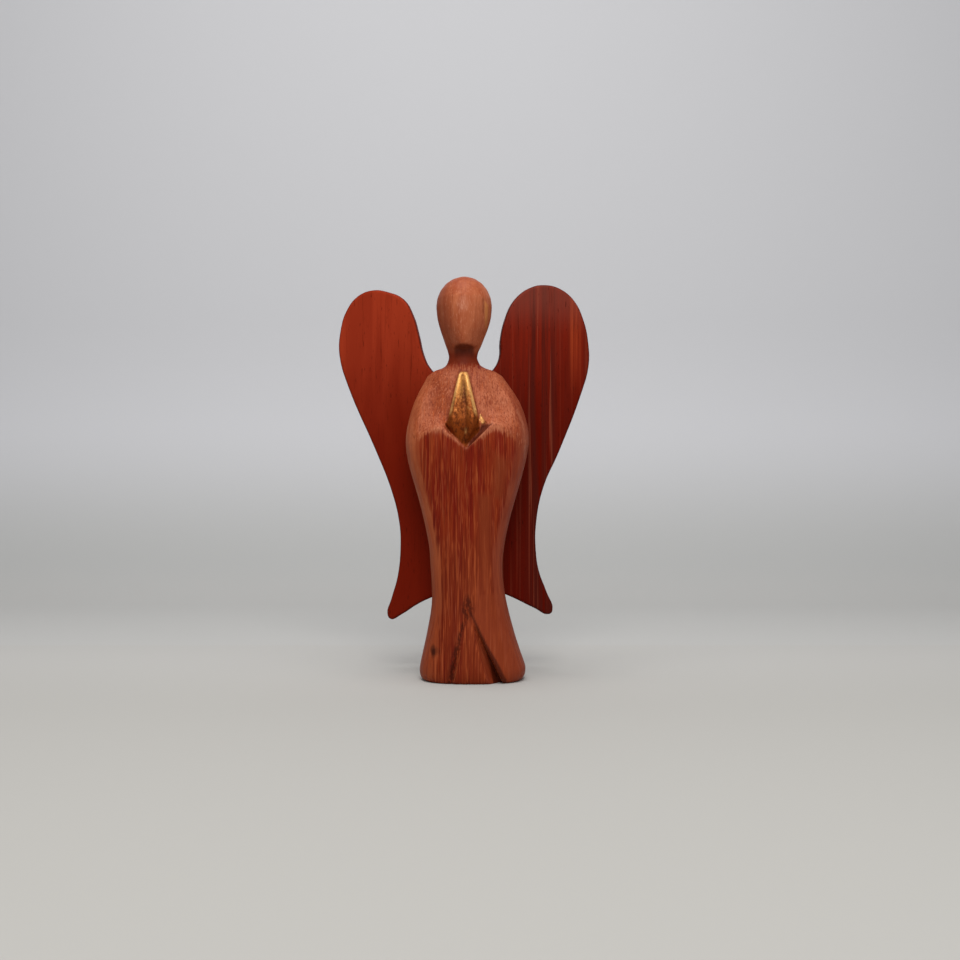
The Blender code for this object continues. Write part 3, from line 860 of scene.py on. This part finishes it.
def side_share(paint, wood):
    """1 on the smoothed sides, fading into the shoulders and the hem."""
    ragged = paint.maths("ADD", wood.turned, paint.ramp(wood.fibres, 0.2, 0.8, -0.08, 0.08))
    side = paint.times(paint.ramp(ragged, 0.46, 0.62), paint.ramp(wood.height, 0.152, 0.138))
    return paint.times(side, paint.ramp(wood.height, 0.028, 0.075, 0.45, 1.0))


def side_colour(paint):
    """Tan wood in long bands, with painted light on the angel's right side and painted shade on its left.
    """
    bands = paint.ramp(paint.noise((330, 330, 8), 3.0, 0.6, 0.3), 0.3, 0.7)
    right = paint.mix(bands, *SIDE_RIGHT_LIT)
    left = paint.mix(bands, *SIDE_LEFT_SHADED)
    return paint.mix(paint.ramp(paint.facing("X"), -0.1, 0.1), right, left)


def dark_fibres(paint, wood, streaked):
    dark = paint.times(paint.ramp(wood.fibres, 0.48, 0.34), streaked)
    return paint.times(dark, paint.ramp(wood.chest, 0.0, 1.0, 1.0, 0.3))


def add_fibres(paint, wood, colour, streaked, dark):
    """Short and long pale fibres, and dark ones between them."""
    short = paint.ramp(paint.fibres(1700, 85, 1.5, 0.5), 0.56, 0.70)
    long = paint.ramp(paint.fibres(1500, 26, 1.5, 0.5), 0.58, 0.70)
    pale = paint.times(paint.maths("MAXIMUM", short, long), paint.ramp(wood.clouds, 0.3, 0.6, 0.25, 0.75))
    colour = paint.mix(paint.times(pale, streaked), colour, PALE_FIBRE)
    return paint.mix(paint.times(dark, 0.5), colour, DARK_FIBRE)


def add_wear(paint, wood, colour):
    """Dust and specks on the chest, and pale edges, partly worn and partly painted highlight."""
    light = paint.times(paint.ramp(wood.flecks, 0.55, 0.68), wood.dusted)
    colour = paint.mix(paint.times(light, 0.45), colour, DUST_LIGHT)
    speck = paint.times(paint.ramp(wood.flecks, 0.47, 0.36), wood.dusted)
    colour = paint.mix(paint.times(speck, 0.6), colour, DUST_DARK)
    return paint.mix(paint.mark("rubbed_and_highlit", paint.ramp(wood.flecks, 0.35, 0.6, 0.3, 0.8)), colour, RUBBED_AND_HIGHLIT)


def add_cuts(paint, wood, colour):
    """The torn wood, the split in the hem with painted shade and dirt, painted shade in the cuts round the
    hands, and the knot.
    """
    torn = paint.times(wood.rough_cut, paint.ramp(wood.flecks, 0.60, 0.44, 0.3, 1.3))
    colour = paint.mix(paint.maths("MINIMUM", torn, 0.85), colour, TORN)
    colour = paint.mix(paint.mark("opening_shade_and_dirt", 0.8), colour, SPLIT_SHADE_AND_DIRT)
    colour = paint.mix(paint.mark("cut_shade", 0.8), colour, CUT_SHADE)
    return paint.mix(paint.mark("knot", 0.9), colour, KNOT_DARK)


def leaf_colour(paint, wood):
    """Worn gilding: golden at its upper end, brown and mottled below with painted shade, and painted
    highlights along its edges.
    """
    mottle = wood.mottle
    leaf = paint.mix(paint.ramp(wood.clouds, 0.3, 0.7), *LEAF)
    leaf = paint.mix(paint.ramp(wood.height, 0.147, 0.135, 0.0, 0.95), leaf, LEAF_WORN_AND_SHADED)
    leaf = paint.mix(paint.ramp(wood.height, 0.133, 0.124), leaf, LEAF_LOW_BROWN_AND_SHADED)
    leaf = paint.mix(paint.ramp(paint.axis("X"), 0.0086, 0.0096), leaf, LEAF_THUMB)
    bare = paint.ramp(wood.height, 0.148, 0.135, 0.15, 0.9)
    leaf = paint.mix(paint.times(bare, paint.ramp(mottle, 0.46, 0.64)), leaf, LEAF_BARE)
    speckle = paint.times(paint.ramp(mottle, 0.46, 0.34), paint.ramp(wood.height, 0.129, 0.134))
    leaf = paint.mix(paint.times(speckle, 0.4), leaf, LEAF_SPECKLE)
    leaf = paint.mix(paint.mark("gold_highlight", paint.ramp(mottle, 0.68, 0.48, 0.45, 1.0)), leaf, LEAF_HIGHLIGHT)
    return paint.mix(paint.mark("gold_dark", 0.9), leaf, LEAF_GROOVE)


def figure_roughness(paint, wood, gold):
    shine = paint.ramp(wood.fibres, 0.3, 0.7, 0.46, 0.60)
    shine = paint.maths("ADD", shine, paint.times(wood.rough_cut, 0.25))
    shine = paint.maths("SUBTRACT", shine, paint.times(wood.on_head, 0.08))
    return paint.mix(gold, shine, paint.ramp(wood.mottle, 0.3, 0.7, 0.34, 0.55))


def figure_relief(paint, wood, gold, dark):
    """Open pores on the wood, grit where it is dusty or torn, and an uneven leaf."""
    wood_only = paint.rest(paint.maths("MAXIMUM", gold, wood.on_head))
    grain = paint.times(paint.maths("SUBTRACT", wood.fibres, dark), wood_only)
    grit = paint.times(wood.flecks, paint.maths("MAXIMUM", wood.dusted, wood.rough_cut))
    normal = paint.bump(grain, 0.10 * MM, 0.8)
    normal = paint.bump(grit, 0.12 * MM, 0.8, normal)
    return paint.bump(paint.times(wood.mottle, gold), 0.2 * MM, 0.8, normal)


def figure_material():
    """Waxed open-pored wood, darkest and most streaked on the robe, and worn gilding."""
    paint = Paint("carved_wood")
    wood = shared_values(paint)
    gold = paint.attribute("gold")
    side = side_share(paint, wood)
    smooth = paint.maths("MAXIMUM", side, paint.attribute("plain"))
    streaked = paint.maths("ADD", paint.times(paint.rest(smooth), 0.75), 0.25)
    streaked = paint.times(streaked, paint.ramp(wood.height, *STREAK_BORDER))
    dark = dark_fibres(paint, wood, streaked)

    colour = broad_colour(paint, wood)
    colour = paint.mix(paint.times(side, 0.85), colour, side_colour(paint))
    colour = add_fibres(paint, wood, colour, streaked, dark)
    colour = add_wear(paint, wood, colour)
    colour = add_cuts(paint, wood, colour)
    colour = paint.mix(gold, colour, leaf_colour(paint, wood))
    paint.join(colour, paint.shader.inputs["Base Color"])
    paint.join(figure_roughness(paint, wood, gold), paint.shader.inputs["Roughness"])
    paint.join(paint.times(gold, 0.45), paint.shader.inputs["Metallic"])
    paint.join(figure_relief(paint, wood, gold, dark), paint.shader.inputs["Normal"])
    paint.shader.inputs["Specular IOR Level"].default_value = WAXED_GLOSS
    return paint.material


def board_paint(name, upper, lower):
    """The start of a wing's paint: its long colour run, partly the wood's own and partly painted light
    falling off from above, fine fibres and short dark pores.
    """
    paint = Paint(name)
    clouds = paint.noise((40, 40, 10), 3.0, 0.6, 0.5)
    fibres = paint.noise((1200, 1200, 40), 3.0, 0.6)
    pores = paint.noise((1500, 1500, 200), 2.0, 0.5)
    run = paint.maths("ADD", paint.axis("Z"), paint.ramp(clouds, 0.2, 0.8, -0.02, 0.02))
    colour = paint.mix(paint.ramp(run, *WING_FALLOFF_BORDER), upper, lower)
    return paint, colour, fibres, pores


def finish_board(paint, colour, fibres, pores, pore_colour):
    """Dark fibres and pores, a dark sawn rim, and the board's waxed surface."""
    colour = paint.mix(paint.ramp(fibres, 0.42, 0.28, 0.0, 0.35), colour, pore_colour)
    dark = paint.ramp(pores, 0.66, 0.74)
    colour = paint.mix(paint.times(dark, 0.6), colour, pore_colour)
    rim = paint.ramp(paint.maths("ABSOLUTE", paint.facing("Y")), 0.93, 0.6, 0.0, 0.6)
    paint.join(paint.mix(rim, colour, BOARD_RIM), paint.shader.inputs["Base Color"])
    paint.join(paint.ramp(fibres, 0.3, 0.7, 0.40, 0.54), paint.shader.inputs["Roughness"])
    grain = paint.maths("SUBTRACT", fibres, dark)
    paint.join(paint.bump(grain, 0.05 * MM, 0.7), paint.shader.inputs["Normal"])
    paint.shader.inputs["Specular IOR Level"].default_value = BOARD_GLOSS
    return paint.material


def right_wing_material():
    """An even brick-red board that turns dark blood red towards its tip, partly as painted light falling
    off from above.
    """
    paint, colour, fibres, pores = board_paint("right_wing_wood", *RIGHT_BOARD_AND_FALLOFF)
    bands = paint.noise((130, 130, 9), 3.0, 0.6, 0.4)
    colour = paint.mix(paint.ramp(bands, 0.42, 0.62, 0.0, 0.35), colour, RIGHT_BAND)
    return finish_board(paint, colour, fibres, pores, RIGHT_PORE)


def left_wing_material():
    """A maroon board with dark and pale stripes down its whole height and an orange outer one, darker
    towards its tip partly as painted light, and a painted grey sheen at its top.
    """
    paint, colour, fibres, pores = board_paint("left_wing_wood", *LEFT_BOARD_AND_FALLOFF)
    out = paint.axis("X")
    height = paint.axis("Z")
    stripes = paint.ramp(paint.noise((330, 60, 5), 4.0, 0.75, 0.25), 0.40, 0.56)
    thin = paint.noise((620, 60, 6), 2.0, 0.6, 0.15)
    heart = paint.times(paint.ramp(out, 0.030, 0.036), paint.ramp(out, 0.049, 0.044))
    dark = paint.times(stripes, paint.ramp(heart, 0.0, 1.0, 0.3, 0.85))
    colour = paint.mix(dark, colour, LEFT_DARK)
    pale = paint.times(paint.ramp(thin, 0.57, 0.66), paint.ramp(heart, 0.0, 1.0, 0.15, 0.5))
    colour = paint.mix(pale, colour, LEFT_PALE)
    strip = paint.times(paint.ramp(out, 0.0530, 0.0560), paint.ramp(out, 0.0610, 0.0585))
    strip = paint.times(strip, paint.ramp(height, 0.135, 0.175))
    strip = paint.times(strip, paint.ramp(thin, 0.35, 0.6, 0.2, 0.7))
    colour = paint.mix(strip, colour, LEFT_ORANGE)
    # a painted sheen at the top
    colour = paint.mix(paint.ramp(height, 0.172, 0.194, 0.0, 0.5), colour, LEFT_PAINTED_SHEEN)
    return finish_board(paint, colour, fibres, pores, LEFT_PORE)


add_camera()
add_studio()
add_floor()
figure = carve_body()
figure.data.materials.append(figure_material())
right_wing = sand_wing("right_wing", "right_wing_board", 11)
right_wing.data.materials.append(right_wing_material())
left_wing = sand_wing("left_wing", "left_wing_board", 21)
left_wing.data.materials.append(left_wing_material())
